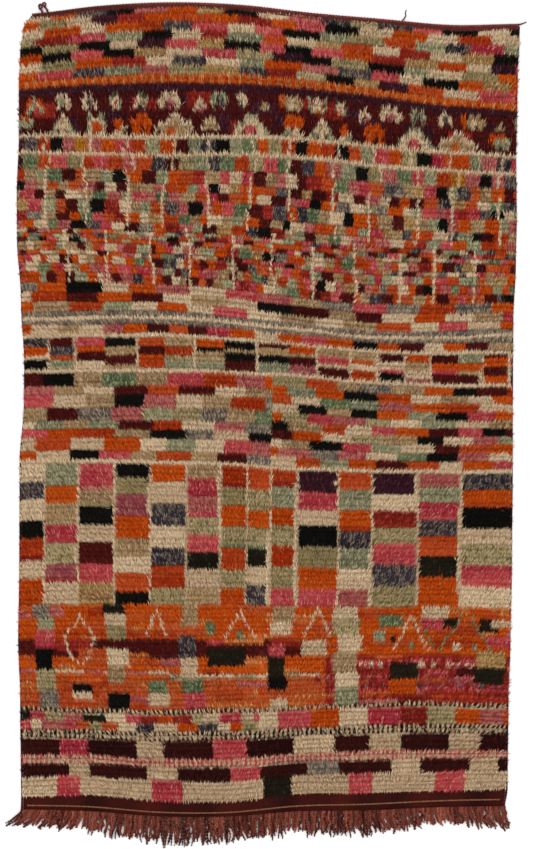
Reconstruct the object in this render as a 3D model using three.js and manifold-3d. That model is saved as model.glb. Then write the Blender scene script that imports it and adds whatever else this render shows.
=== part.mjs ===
// A hand-knotted wool rug from the Middle Atlas, lying flat on the floor, seen from above.
// Units are millimetres. X runs across the rug, Y up its length, Z up from the floor.
// The origin is on the floor, under the middle of the rug's outline.

import * as THREE from "three";
import { mergeVertices } from "three/addons/utils/BufferGeometryUtils.js";
import Module from "manifold-3d";

const wasm = await Module();
wasm.setup();

// Driving sizes
const TOP_Y = 1477; // the highest point of the top cord
const PILE_END = 2784; // where the knotted pile stops, measured down from the top cord
const WEAVE_END = 2851; // where the flat-woven end stops
const GAP = 0.3; // between pieces that lie side by side

const FIELD_WIDE = 1720; // the pile's width, for sizes that are worked out across it
const BASE_THICK = 4; // warps and wefts under the pile
const PILE_LIFT = 3.7; // underside of the pile where it hangs past the base
const PILE_HIGH = 10.4; // pile above that underside
const PILE_LUMP = 1.7; // how far the pile rises and falls
const PILE_ROUND = 18; // width of the rounded rim of the pile
const RIM_STEP = 5; // width of the first cells along the rim
const RIM_LEAST = 0.13; // share of the pile's height that the rim keeps
const PILE_COLUMNS = 30;
const PILE_ROWS = 52;
const CREASE_DEEP = 1.6; // the soft fold line down the length
const CREASE_HALF = 34;
const CREASE_AT = 0.49; // share of the width

const SELVEDGE_WIDE = 9;
const SELVEDGE_THICK = 3.1;
const SELVEDGE_SHOWS = 4; // how much of the selvedge the pile leaves bare
const CORD_WIDE = 9;
const CORD_THICK = 5;
const CORD_BEAD = 0.12; // how much each turn of the twist swells
const CORD_CLEAR = 0.5; // between the cord and the base, which meet on a curve
const CORD_END = 0.6; // how much of its thickness the cord keeps at its two ends
const TAIL_FLAT = 1.5; // a loose end's width for its thickness
const TAIL_TAPER = 0.55; // how much of its width a loose end loses

const STRIP_WIDE = 6;
const STRIP_THICK = 3.4;
const SIDE_STEPS = 54; // sections down each side
const END_STEPS = 56; // sections across each end

// Locks of pile at the rim, on each side and over the flat-woven end, and the strands of the fringe.
// The side locks run between two distances down the rug, and the end locks between two shares across.
const SIDE_LOCK = {
  count: 40, wide: [13, 18], thick: 4.6, root: 13, reach: [5, 12], lean: [6, 20],
  low: [6.4, 5.2, 4], taper: [1, 0.85, 0.22], span: [70, PILE_END - 40],
};
const END_LOCK = {
  count: 30, wide: [15, 24], thick: 4.2, root: 14, reach: [5, 12], lean: [-7, 5],
  low: [6.6, 5.6, 4.5], taper: [1, 0.85, 0.25], span: [0.02, 0.98],
};
const LOCK_PLACE = [0.2, 0.8]; // where in its own stretch of the rim a lock may start
const LOCK_LEANS = [0, 0.4, 1]; // share of its lean that a lock has at each of its sections
const STRAND = {
  count: 140, wide: 8.4, thick: 3, uneven: [0.72, 1.08], stray: 4, wave: 2.5,
  along: [0, 0.5, 1], across: [0, 0.32, 1], taper: [1, 0.86, 0.34],
};

// How far each line of weft lies below a straight row, at eight even stations across the rug.
const WEFTS = [
  { down: 0, sag: [40, 12, 0, 9, 37, 58, 79, 75] },
  { down: 264, sag: [28, 10, 0, 4, 21, 52, 84, 102] },
  { down: 474, sag: [-7, -4, 0, -4, 4, 32, 52, 66] },
  { down: 961, sag: [-18, -14, 0, 14, 46, 63, 66, 66] },
  { down: 1080, sag: [4, 0, 0, 21, 49, 73, 73, 63] },
  { down: 1258, sag: [4, 4, 0, 7, 21, 46, 56, 56] },
  { down: 1605, sag: [0, -4, 0, 7, 25, 32, 35, 32] },
  { down: 2098, sag: [0, -4, 0, 0, 4, 7, 7, 14] },
  { down: 2490, sag: [-14, -4, 0, -7, -14, -25, -28, -21] },
  { down: 2784, sag: [-10, -17, 0, 4, -21, -25, -32, -39] },
  { down: 2851, sag: [-25, -18, 0, 0, -18, -21, -32, -35] },
];

// A yarn's flat-bottomed section: shares of its half width and of its thickness.
const YARN_PROFILE = [
  [-0.62, 0],
  [0.62, 0],
  [1, 0.45],
  [0.55, 1],
  [-0.55, 1],
  [-1, 0.45],
];

const WOOL = { field: 0xa9714f, selvedge: 0x4a1f2a, cord: 0x5d1f24, fringe: 0x6b3a35 };
const SEEDS = { left: 331, right: 577, end: 911, fringe: 1201 };

// Half widths to the left and to the right of the middle, down the length.
const EDGES = [
  { down: 0, left: 826, right: 884 },
  { down: 60, left: 856, right: 882 },
  { down: 150, left: 866, right: 877 },
  { down: 270, left: 871, right: 875 },
  { down: 450, left: 870, right: 871 },
  { down: 690, left: 878, right: 873 },
  { down: 850, left: 877, right: 870 },
  { down: 1050, left: 863, right: 861 },
  { down: 1260, left: 852, right: 860 },
  { down: 1400, left: 853, right: 859 },
  { down: 1610, left: 868, right: 859 },
  { down: 1960, left: 869, right: 856 },
  { down: 2240, left: 873, right: 851 },
  { down: 2450, left: 866, right: 844 },
  { down: 2790, left: 863, right: 841 },
  { down: 2851, left: 864, right: 832 },
];

// The pile's lumps: soft waves, each with its length across and along and its share of the height.
const LUMPS = [
  { across: 610, along: 390, turn: 0.4, share: 0.34 },
  { across: -270, along: 310, turn: 2.1, share: 0.28 },
  { across: 173, along: 205, turn: 4.4, share: 0.2 },
  { across: -131, along: 96, turn: 1.3, share: 0.18 },
];

// The fringe at eight even stations: how long its strands are, and how far their tips drift.
const FRINGE = {
  long: [58, 78, 106, 96, 86, 94, 68, 88],
  drift: [-50, -12, -5, 6, -7, 9, 5, 18],
};

// Loose ends of warp on the top cord: where each leaves it, and the steps that it takes.
const TAILS = [
  { at: 0.021, thick: 4.2, steps: [[-2, 10], [-5, 12], [-6, 8], [-7, -1]] },
  { at: 0.031, thick: 4.2, steps: [[1, 11], [-4, 12], [-8, 7], [-8, 1]] },
  { at: 0.757, thick: 3.6, steps: [[7, 9], [8, 13], [-1, 12], [4, 9]] },
  { at: 0.992, thick: 4.4, steps: [[10, 2], [13, 4], [13, 5]] },
];

const clamp = (t, low = 0, high = 1) => Math.min(high, Math.max(low, t));
const mix = (a, b, t) => a + (b - a) * t;

// A repeatable stream of numbers between 0 and 1.
function seeded(seed) {
  let state = seed;
  return () => {
    state = (state * 16807) % 2147483647;
    return state / 2147483647;
  };
}

// A smooth value read from even stations, with t from 0 to 1.
function between(stations, t) {
  const last = stations.length - 1;
  const place = clamp(t) * last;
  const i = Math.min(last - 1, Math.floor(place));
  const f = place - i;
  const a = stations[Math.max(0, i - 1)];
  const b = stations[i];
  const c = stations[i + 1];
  const d = stations[Math.min(last, i + 2)];
  const bend = 2 * a - 5 * b + 4 * c - d;
  const twist = -a + 3 * b - 3 * c + d;
  return b + 0.5 * f * (c - a + f * (bend + f * twist));
}

// The two rows of a table that hold a distance down the rug, and the share between them.
function rowsAt(table, down) {
  let i = 0;
  while (i < table.length - 2 && table[i + 1].down < down) i += 1;
  const upper = table[i];
  const lower = table[i + 1];
  return { upper, lower, share: clamp((down - upper.down) / (lower.down - upper.down)) };
}

function sagAt(u, down) {
  const { upper, lower, share } = rowsAt(WEFTS, down);
  return mix(between(upper.sag, u), between(lower.sag, u), share);
}

function halfWidths(down) {
  const { upper, lower, share } = rowsAt(EDGES, down);
  const ease = share * share * (3 - 2 * share);
  return { left: mix(upper.left, lower.left, ease), right: mix(upper.right, lower.right, ease) };
}

// Where a knot lies: u runs across from 0 to 1, and inset moves the two edges in.
function place(u, down, inset = 0) {
  const { left, right } = halfWidths(down);
  const x = mix(-left + inset, right - inset, u);
  return { x, y: TOP_Y - down - sagAt((x + left) / (left + right), down) };
}

// A point beside the left edge, with side -1, or the right one, with side 1.
function besideEdge(side, down, inset) {
  const { left, right } = halfWidths(down);
  const x = side < 0 ? -left + inset : right - inset;
  return { x, y: TOP_Y - down - sagAt(side < 0 ? 0 : 1, down) };
}

function lumpAt(x, y) {
  let sum = 0;
  for (const { across, along, turn, share } of LUMPS) {
    sum += share * Math.sin((2 * Math.PI * x) / across + (2 * Math.PI * y) / along + turn);
  }
  return sum;
}

// Indices of a grid of cells, front side up, and of the wall that joins two such grids.
function gridFaces(faces, columns, rows, offset, upward) {
  for (let j = 0; j < rows; j += 1) {
    for (let i = 0; i < columns; i += 1) {
      const a = offset + j * (columns + 1) + i;
      const b = a + 1;
      const c = a + columns + 1;
      const d = c + 1;
      if (upward) faces.push(a, c, b, b, c, d);
      else faces.push(a, b, c, b, d, c);
    }
  }
}

function wallFaces(faces, ring, offset) {
  ring.forEach((a, k) => {
    const b = ring[(k + 1) % ring.length];
    faces.push(a, b, a + offset, b, b + offset, a + offset);
  });
}

// A closed slab between an upper and a lower sheet. Rows run down the rug, columns across it.
function slab(columns, rows, upper, lower) {
  const points = [];
  for (const sheet of [upper, lower]) {
    for (let j = 0; j <= rows; j += 1) {
      for (let i = 0; i <= columns; i += 1) points.push(...sheet(i, j));
    }
  }
  const count = (columns + 1) * (rows + 1);
  const faces = [];
  gridFaces(faces, columns, rows, 0, true);
  gridFaces(faces, columns, rows, count, false);
  const ring = [];
  for (let i = 0; i < columns; i += 1) ring.push(i);
  for (let j = 0; j < rows; j += 1) ring.push(j * (columns + 1) + columns);
  for (let i = columns; i > 0; i -= 1) ring.push(rows * (columns + 1) + i);
  for (let j = rows; j > 0; j -= 1) ring.push(j * (columns + 1));
  wallFaces(faces, ring, count);
  return closedGeometry(points, faces);
}

function closedGeometry(points, faces) {
  const geometry = new THREE.BufferGeometry();
  geometry.setAttribute("position", new THREE.Float32BufferAttribute(points, 3));
  geometry.setIndex(faces);
  return geometry;
}

// A rod of equal sections, one after another, closed at both ends.
function rod(sections) {
  const sides = sections[0].length;
  const faces = [];
  for (let k = 0; k < sections.length - 1; k += 1) {
    for (let i = 0; i < sides; i += 1) {
      const a = k * sides + i;
      const b = k * sides + ((i + 1) % sides);
      faces.push(a, a + sides, b, b, a + sides, b + sides);
    }
  }
  const end = (sections.length - 1) * sides;
  for (let i = 1; i < sides - 1; i += 1) {
    faces.push(0, i, i + 1);
    faces.push(end, end + i + 1, end + i);
  }
  return closedGeometry(sections.flat(2), faces);
}

// A three-sided lock of wool along a path of {x, y, low}, tapering as its table says.
function lock(path, wide, thick, taper) {
  const sections = path.map((here, k) => {
    const before = path[Math.max(0, k - 1)];
    const after = path[Math.min(path.length - 1, k + 1)];
    const run = Math.hypot(after.x - before.x, after.y - before.y);
    const across = (wide * taper[k]) / 2 / run;
    const sideX = (after.y - before.y) * across;
    const sideY = (after.x - before.x) * across;
    return [
      [here.x - sideX, here.y + sideY, here.low],
      [here.x + sideX, here.y - sideY, here.low],
      [here.x, here.y, here.low + thick * taper[k]],
    ];
  });
  return rod(sections);
}

function toSolid(geometry) {
  const bare = geometry.index ? geometry.clone() : geometry;
  bare.deleteAttribute("normal");
  bare.deleteAttribute("uv");
  const merged = mergeVertices(bare, 1e-3);
  return new wasm.Manifold(
    new wasm.Mesh({
      numProp: 3,
      vertProperties: new Float32Array(merged.attributes.position.array),
      triVerts: new Uint32Array(merged.index.array),
    }),
  );
}

function toGeometry(solid) {
  const { vertProperties, triVerts } = solid.getMesh();
  const geometry = new THREE.BufferGeometry();
  geometry.setAttribute("position", new THREE.BufferAttribute(vertProperties, 3));
  geometry.setIndex(new THREE.BufferAttribute(triVerts, 1));
  const flat = geometry.toNonIndexed();
  flat.computeVertexNormals();
  return flat;
}

function fuse(geometries) {
  return toGeometry(wasm.Manifold.union(geometries.map(toSolid)));
}

function yarn(name, geometry, color) {
  const finish = new THREE.MeshStandardMaterial({ color, roughness: 0.95, metalness: 0 });
  const mesh = new THREE.Mesh(geometry, finish);
  mesh.name = name;
  return mesh;
}

// The woven base: one plate from under the top cord to the end of the flat weave.
function base() {
  const inset = SELVEDGE_WIDE + GAP;
  const start = CORD_WIDE + CORD_CLEAR;
  const outline = [];
  const side = (which, k) => besideEdge(which, mix(start, WEAVE_END, k / SIDE_STEPS), inset);
  for (let k = 0; k <= SIDE_STEPS; k += 1) outline.push(side(-1, k));
  for (let k = 1; k < END_STEPS; k += 1) outline.push(place(k / END_STEPS, WEAVE_END, inset));
  for (let k = SIDE_STEPS; k >= 0; k -= 1) outline.push(side(1, k));
  for (let k = END_STEPS - 1; k > 0; k -= 1) outline.push(place(k / END_STEPS, start, inset));
  const shape = new THREE.Shape(outline.map(({ x, y }) => new THREE.Vector2(x, y)));
  return new THREE.ExtrudeGeometry(shape, { depth: BASE_THICK, bevelEnabled: false });
}

// How much of its full height the pile has at a distance in from its rim.
function rimShare(distance) {
  const t = 1 - clamp(distance / PILE_ROUND);
  return Math.max(RIM_LEAST, Math.sqrt(1 - t * t));
}

// Even cells with two narrow ones along each rim, so that the pile's edge is round.
function stationsWithRim(cells, length) {
  const stations = [0, RIM_STEP, PILE_ROUND];
  const inner = cells - 4;
  for (let k = 1; k < inner; k += 1) {
    stations.push(mix(PILE_ROUND, length - PILE_ROUND, k / inner));
  }
  return [...stations, length - PILE_ROUND, length - RIM_STEP, length];
}

function pileHeight(x, y, u) {
  const near = clamp(1 - (Math.abs(u - CREASE_AT) * FIELD_WIDE) / CREASE_HALF);
  const crease = CREASE_DEEP * near * near * (3 - 2 * near);
  return PILE_HIGH + PILE_LUMP * lumpAt(x, y) - crease;
}

// The knotted pile as one lumpy slab that hangs a little past the base on both sides.
function pile() {
  const start = CORD_WIDE + 2 * CORD_CLEAR;
  const across = stationsWithRim(PILE_COLUMNS, FIELD_WIDE).map((d) => d / FIELD_WIDE);
  const along = stationsWithRim(PILE_ROWS, PILE_END - start).map((d) => start + d);
  const sheet = (top) => (i, j) => {
    const u = across[i];
    const down = along[j];
    const { x, y } = place(u, down, SELVEDGE_SHOWS);
    const fromSide = Math.min(u, 1 - u) * FIELD_WIDE;
    const fromEnd = Math.min(down - start, PILE_END - down);
    const share = Math.min(rimShare(fromSide), rimShare(fromEnd));
    return [x, y, top ? PILE_LIFT + pileHeight(x, y, u) * share : PILE_LIFT];
  };
  return slab(PILE_COLUMNS, PILE_ROWS, sheet(true), sheet(false));
}

// One lock of pile from its root inside the slab, over the rim by its reach, and its lean aside.
function rimLock(root, out, aside, style, random) {
  const reach = mix(...style.reach, random());
  const lean = mix(...style.lean, random());
  const wide = mix(...style.wide, random());
  const runs = [0, style.root, style.root + reach];
  const path = runs.map((run, k) => ({
    x: root.x + out.x * run + aside.x * lean * LOCK_LEANS[k],
    y: root.y + out.y * run + aside.y * lean * LOCK_LEANS[k],
    low: style.low[k],
  }));
  return lock(path, wide, style.thick, style.taper);
}

// Locks of pile that lean out over the selvedge on one side.
function sideLocks(side, seed) {
  const random = seeded(seed);
  const locks = [];
  for (let k = 0; k < SIDE_LOCK.count; k += 1) {
    const share = (k + mix(...LOCK_PLACE, random())) / SIDE_LOCK.count;
    const down = mix(...SIDE_LOCK.span, share);
    const root = besideEdge(side, down, SELVEDGE_SHOWS + SIDE_LOCK.root);
    locks.push(rimLock(root, { x: side, y: 0 }, { x: 0, y: -1 }, SIDE_LOCK, random));
  }
  return locks;
}

// Locks of the last knotted row, lying over the flat weave.
function endLocks(seed) {
  const random = seeded(seed);
  const locks = [];
  for (let k = 0; k < END_LOCK.count; k += 1) {
    const share = (k + mix(...LOCK_PLACE, random())) / END_LOCK.count;
    const u = mix(...END_LOCK.span, share);
    const root = place(u, PILE_END - END_LOCK.root);
    locks.push(rimLock(root, { x: 0, y: -1 }, { x: 1, y: 0 }, END_LOCK, random));
  }
  return locks;
}

function field() {
  const sides = [...sideLocks(-1, SEEDS.left), ...sideLocks(1, SEEDS.right)];
  return fuse([base(), pile(), ...sides, ...endLocks(SEEDS.end)]);
}

// A flat-bottomed yarn section across a path that runs along (dx, dy).
function yarnSection({ x, y }, dx, dy, wide, thick) {
  const half = wide / 2;
  return YARN_PROFILE.map(([side, high]) => [x + dy * side * half, y - dx * side * half, high * thick]);
}

// The overcast selvedge along one side, from the top cord to the fringe strip.
function selvedge(side) {
  const sections = [];
  for (let k = 0; k <= SIDE_STEPS; k += 1) {
    const down = mix(CORD_WIDE + CORD_CLEAR, WEAVE_END, k / SIDE_STEPS);
    const here = besideEdge(side, down, SELVEDGE_WIDE / 2);
    sections.push(yarnSection(here, 0, -1, SELVEDGE_WIDE, SELVEDGE_THICK));
  }
  return rod(sections);
}

// The twisted cord along the top, with the loose warp ends that are knotted into it.
function topCord() {
  const steps = 2 * END_STEPS;
  const sections = [];
  for (let k = 0; k <= steps; k += 1) {
    const isEnd = k === 0 || k === steps;
    const swell = (1 + (k % 2 ? CORD_BEAD : -CORD_BEAD)) * (isEnd ? CORD_END : 1);
    const here = place(k / steps, CORD_WIDE / 2);
    const wide = (CORD_WIDE * swell) / (1 + CORD_BEAD);
    sections.push(yarnSection(here, 1, 0, wide, CORD_THICK * swell));
  }
  return fuse([rod(sections), ...TAILS.map(tail)]);
}

function tail({ at, thick, steps }) {
  const root = place(at, CORD_WIDE / 2);
  const path = [{ ...root, low: 0 }];
  for (const [right, up] of steps) {
    const last = path[path.length - 1];
    path.push({ x: last.x + right, y: last.y + up, low: 0 });
  }
  const taper = path.map((point, k) => 1 - (TAIL_TAPER * k) / (path.length - 1));
  return lock(path, thick * TAIL_FLAT, thick, taper);
}

// The warp ends below the flat weave: a narrow strip, and the strands that leave it.
function fringe(seed) {
  const random = seeded(seed);
  const strip = (z) => (i, j) => {
    const { x, y } = place(j / END_STEPS, WEAVE_END);
    return [x, y - GAP - (1 - i) * STRIP_WIDE, z];
  };
  const parts = [slab(1, END_STEPS, strip(STRIP_THICK), strip(0))];
  for (let k = 0; k < STRAND.count; k += 1) {
    const u = (k + 0.5) / STRAND.count;
    const root = place(u, WEAVE_END + GAP + STRIP_WIDE / 2);
    const long = between(FRINGE.long, u) * mix(...STRAND.uneven, random());
    const drift = between(FRINGE.drift, u) + mix(-STRAND.stray, STRAND.stray, random());
    const wave = mix(-STRAND.wave, STRAND.wave, random());
    const waves = [0, wave, 0];
    const path = STRAND.along.map((share, i) => ({
      x: root.x + drift * STRAND.across[i] + waves[i],
      y: root.y - long * share,
      low: 0,
    }));
    parts.push(lock(path, STRAND.wide, STRAND.thick, STRAND.taper));
  }
  return fuse(parts);
}

const rug = new THREE.Group();
rug.add(yarn("field", field(), WOOL.field));
rug.add(yarn("selvedge_left", selvedge(-1), WOOL.selvedge));
rug.add(yarn("selvedge_right", selvedge(1), WOOL.selvedge));
rug.add(yarn("top_cord", topCord(), WOOL.cord));
rug.add(yarn("fringe", fringe(SEEDS.fringe), WOOL.fringe));

// The outline's middle goes to the origin, with the rug's underside on the floor.
const outline = new THREE.Box3().setFromObject(rug);
const middle = outline.getCenter(new THREE.Vector3());
rug.position.set(-middle.x, -middle.y, 0);

export default rug;
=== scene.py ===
"""The looks of the hand-knotted wool rug: its pile tuft by tuft, woven base, side cords and fringe."""

import math

import bpy
import numpy as np
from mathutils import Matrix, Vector


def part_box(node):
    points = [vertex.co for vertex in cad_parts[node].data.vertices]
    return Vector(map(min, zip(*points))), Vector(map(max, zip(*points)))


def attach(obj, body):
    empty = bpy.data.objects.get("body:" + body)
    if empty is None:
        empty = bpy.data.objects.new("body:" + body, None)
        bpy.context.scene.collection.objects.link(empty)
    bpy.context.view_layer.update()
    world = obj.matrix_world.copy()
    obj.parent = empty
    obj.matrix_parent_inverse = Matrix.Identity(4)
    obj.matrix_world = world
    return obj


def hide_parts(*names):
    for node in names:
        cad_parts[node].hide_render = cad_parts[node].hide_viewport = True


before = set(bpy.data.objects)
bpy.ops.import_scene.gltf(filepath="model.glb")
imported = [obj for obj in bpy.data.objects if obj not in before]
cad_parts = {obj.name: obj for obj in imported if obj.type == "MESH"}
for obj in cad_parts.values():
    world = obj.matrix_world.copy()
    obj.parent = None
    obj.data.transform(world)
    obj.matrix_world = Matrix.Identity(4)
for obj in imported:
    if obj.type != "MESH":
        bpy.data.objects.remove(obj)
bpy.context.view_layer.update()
scene = bpy.context.scene
dice = np.random.default_rng(31)

MM = 0.001

# The weave, in the sizes of the part's source

TOP_Y = 1477 * MM  # the highest point of the top cord, before the outline is centred
PILE_START = 10 * MM  # measured down from the top cord
PILE_END = 2784 * MM
WEAVE_END = 2851 * MM
SELVEDGE_WIDE = 9 * MM
SELVEDGE_THICK = 3.1 * MM
SELVEDGE_SHOWS = 4 * MM
GAP = 0.3 * MM
CORD_WIDE = 9 * MM
CORD_THICK = 5 * MM
CREASE_AT = 0.49
CREASE_HALF = 0.02
FIELD_LONG = WEAVE_END - CORD_WIDE

# How far down each line of weft starts, and how far it sags at eight even stations across, in mm
WEFTS = [
    (0, (40, 12, 0, 9, 37, 58, 79, 75)),
    (264, (28, 10, 0, 4, 21, 52, 84, 102)),
    (474, (-7, -4, 0, -4, 4, 32, 52, 66)),
    (961, (-18, -14, 0, 14, 46, 63, 66, 66)),
    (1080, (4, 0, 0, 21, 49, 73, 73, 63)),
    (1258, (4, 4, 0, 7, 21, 46, 56, 56)),
    (1605, (0, -4, 0, 7, 25, 32, 35, 32)),
    (2098, (0, -4, 0, 0, 4, 7, 7, 14)),
    (2490, (-14, -4, 0, -7, -14, -25, -28, -21)),
    (2784, (-10, -17, 0, 4, -21, -25, -32, -39)),
    (2851, (-25, -18, 0, 0, -18, -21, -32, -35)),
]

# How far down, and the half widths to the left and to the right of the middle there, in mm
EDGES = [
    (0, 826, 884),
    (60, 856, 882),
    (150, 866, 877),
    (270, 871, 875),
    (450, 870, 871),
    (690, 878, 873),
    (850, 877, 870),
    (1050, 863, 861),
    (1260, 852, 860),
    (1400, 853, 859),
    (1610, 868, 859),
    (1960, 869, 856),
    (2240, 873, 851),
    (2450, 866, 844),
    (2790, 863, 841),
    (2851, 864, 832),
]

# The pile's lumps: length across and along in mm, turn, and share of the height
LUMPS = [(610, 390, 0.4, 0.34), (-270, 310, 2.1, 0.28), (173, 205, 4.4, 0.2), (-131, 96, 1.3, 0.18)]
LUMP_HIGH = 1.7 * MM

# The fringe's lengths and the drift of its tips at eight even stations, in mm
FRINGE_LONG = (58, 78, 106, 96, 86, 94, 68, 88)
FRINGE_DRIFT = (-50, -12, -5, 6, -7, 9, 5, 18)

# Loose warp ends on the top cord: where each leaves it, its thickness and its steps, in mm
TAILS = [
    (0.024, 8.6, ((-3, 10), (-7, 9), (-4, 9), (4, 6), (6, -4), (0, -8), (-7, -5), (-3, 5))),
    (0.033, 8.2, ((0, 11), (-7, 10), (-7, 7), (-2, 7), (6, 3), (5, -6), (-4, -8))),
    (0.757, 5.6, ((7, 9), (8, 13), (-1, 12), (4, 9))),
    (0.992, 6.4, ((10, 2), (13, 4), (13, 5))),
]

# The knotting

KNOTS = 205  # across the rug
ROWS = 181  # rows of pile down the rug
ROW_STEP = (PILE_END - PILE_START) / ROWS
TUFTS = 5  # locks that one knot leaves
TUFT_WIDE = 4.6 * MM
TUFT_ROOT = 3.6 * MM  # height of a tuft's root, inside the base
BASE_TOP = 4.2 * MM
BASE_UNDER = 0.3 * MM

# The tones of the blocks, from a yarn's deep colour at 0 to its faded one at 1

TONE_RANGE = (0.1, 0.9)
FIGURE_TONES = (0.2, 0.8)
TWIST_TONES = (0.3, 0.7)
TONE_DRIFT = 0.14  # from row to row of a block
TUFT_TONE = 0.14  # from lock to lock
TUFT_SHADE = 0.06
WOOL_GAIN = 1.41  # the pile shades itself, so its yarns are lighter than the whole looks
LINE_TONE = 0.8
POST_TONE = 0.9
POST_STEPS = 0.12  # the chance that a post steps aside at a row
RUNS_OUT = 0.3  # the chance that a block's yarn runs out before its last row

# How the locks lie: places in knots and rows, turns in radians where no other unit is given

SCATTER = 0.07
ROW_FOOT = 0.9
WOBBLES = [(0.16, 9, 2.4), (0.1, 31, 5.3)]  # height, turns across the rug, and turn from row to row
# Drifts of the lean, as the lumps are given: length across and along in mm, turn, and share
LEANS = [(1900, 2600, 0.6, 0.5), (-760, 980, 2.0, 0.3), (340, -430, 4.0, 0.2)]
LEAN_LEFT = -16  # degrees at the left side
LEAN_TURN = 30  # degrees more at the right side
LEAN_STEEP = 1.7
LEAN_LAG = 0.25
LEAN_DRIFT = 0.25
LOWER_FROM = 0.82  # the share of the pile's length below which the lean drifts more
LOWER_LONG = 0.18
LOWER_DRIFT = 0.5
KNOT_LEAN = 0.2
LOCK_LEAN = 0.12
STRAYS = 0.04  # the share of the locks that stray
STRAY_LEAN = 0.7
EDGE_KNOTS = 2.5  # the knots at each side whose locks lean outwards
EDGE_LEAN = (-0.1, 0.3)
TURNED = 0.5  # the share of the last row's locks that lie over the flat weave
RISE = 40  # degrees from the floor
RISE_CHANCE = 5
LUMP_RISE = 5
CREASE_RISE = 10
CREASE_GATHERS = 0.5
BEND = 0.3  # the share of its length by which a lock's tip bends over
BEND_FALL = -0.62
BEND_RANGE = (0.6, 1.25)
BEND_ASIDE = 1.8 * MM
FIRST_ROW = 0.3  # the share of its length that the first row has, and the second
SECOND_ROW = 0.75
LUMP_GROWTH = 0.06
CREASE_GROWTH = 0.22
TURNED_GROWTH = 0.3
TURNED_BEND = 0.35
EDGE_GROWTH = 0.25
ROOT_LUMPS = 0.4  # the share of the lumps that the locks' roots follow
THINNEST = 0.7
THICKEST = 1.3
BAKE_CELL = 0.92  # the share of its cell that a lock fills in the bake's layout

# The pile's pieces: first and last row, the locks' length, how uneven they are and how far they stray
PILE_PIECES = [
    ("pile_top", 0, 38, 20.5 * MM, 0.3, 0.2),
    ("pile_confetti", 38, 70, 18 * MM, 0.2, 0.12),
    ("pile_bricks", 70, 105, 18.5 * MM, 0.22, 0.17),
    ("pile_panels", 105, 137, 18.5 * MM, 0.22, 0.18),
    ("pile_totems", 137, 162, 18.5 * MM, 0.22, 0.15),
    ("pile_foot", 162, ROWS, 18.5 * MM, 0.2, 0.1),
]

# The woven base

BASE_COLUMNS = 102
BASE_ROWS = ROWS + 5
BASE_START = CORD_WIDE - 2 * MM  # its edge lies under the top cord
FLAT_FROM = PILE_END - 4 * MM
FLAT_DROP = 0.6 * MM
RIPPLE_HIGH = 0.25 * MM
RIPPLE_HALF = 7.6 * MM
RIB_LONG = 3.8 * MM
PILE_GAP_PAINTED_SHADE = 0.55  # painted shade: the share of its colour that the base's top shows between the locks
FLAT_DARK = "240b09"
FLAT_WORN = "3c120d"
BARE_STRIP = "6e3832"
BASE_RIM = "32100c"
# Its flat layout for the bake: the top's width, both faces' height, and the wall's strip
LAYOUT_WIDE = 0.49
LAYOUT_HIGH = 0.98
LAYOUT_STRIP = (0.992, 0.999)

# The cords, their loose ends and the line through the flat-woven end

CLEAR = 0.2 * MM  # above the floor
LIFT = 1.2  # how high a loose yarn's middle lies, in its own radii
CORD_MOTTLE = 0.2

OVERCAST_TURN = 9 * MM
TURN_STATIONS = 3
OVERCAST_RADIUS = SELVEDGE_WIDE / 2 * 0.9
OVERCAST_HIGH = SELVEDGE_THICK * 0.62
OVERCAST_SWELL = 0.1
OVERCAST_FLAT = 0.36
OVERCAST_WOOL = "472029"
OVERCAST_DARK = 0.45

CORD_STATIONS = 520
CORD_RADIUS = CORD_THICK * 0.88
CORD_HIGH = CORD_THICK * 1.15
CORD_WOOL = "6a302c"
CORD_PITCH = 22 * MM
CORD_DARK_TO = 0.2  # the share of the width along which the cord is darker
CORD_DARK = 0.6

TAIL_STATIONS = 22
TAIL_TAPER = 0.4
TAIL_WOOL = "5a2a28"
TAIL_PITCH = 12 * MM

LINE_STATIONS = 820
LINE_DOWN = 2829 * MM
LINE_WAVE = 4 * MM
LINE_RADIUS = 2.7 * MM
LINE_LIFT = 0.5 * MM
LINE_WOOL = "875a42"
LINE_MOTTLE = 0.15
LINE_DARK = 0.45
LINE_STITCH = 4  # stations to a dark and a pale stitch
LINE_PITCH = 9 * MM

# The fringe's strands

STRANDS = 520
BUNDLE = 4  # strands that hang together
STRAND_STATIONS = 10
STRAND_SCATTER = 0.0008  # of the width
STRAND_ROOT = 3 * MM  # how far it reaches under the weave's end
STRAND_LONG = (0.72, 1.04)
BUNDLE_LONG = (0.8, 1.06)
BUNDLE_DRIFT = 5
STRAND_DRIFT = 4
STRAND_WAVE = 5.5 * MM
STRAND_TURNS = (4, 10)
STRAND_RADIUS = (3.4, 5.0)
STRAND_TAPER = 0.3
STRAND_CURVE = 1.6  # how late along the strand its drift sets in
STRAND_LAYER = 2.4 * MM
STRAND_DARK = "38130f"
STRAND_PALE = "8c4a3a"
STRAND_MOTTLE = 0.08

# The wool's shading

ROUGH_PILE = 0.95
ROUGH_YARN = 0.92
SHEEN = 0.015
BASE_SHEEN = 0.01
SHEEN_ROUGHNESS = 0.6
SPECULAR = 0.03
FIBRE_DETAIL = 3.0
STREAKS_FINE = 260.0  # the scale of the fibres' streaks, in turns to a metre
STREAKS_SHAPE = (1.0, 0.35, 1.0)
# Painted shade and light on the locks: darker towards the root, a little lighter at the tip
ROOT_PAINTED_SHADE = 0.68  # painted shade: the share of its colour that a lock shows at its root, where shade falls between the locks
TIP_PAINTED_LIGHT = 1.05
ROOT_END = 0.08  # the shares of its length between which the painted shade gives way to a little painted light at the tip
TIP_START = 0.62

# The setting

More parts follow.
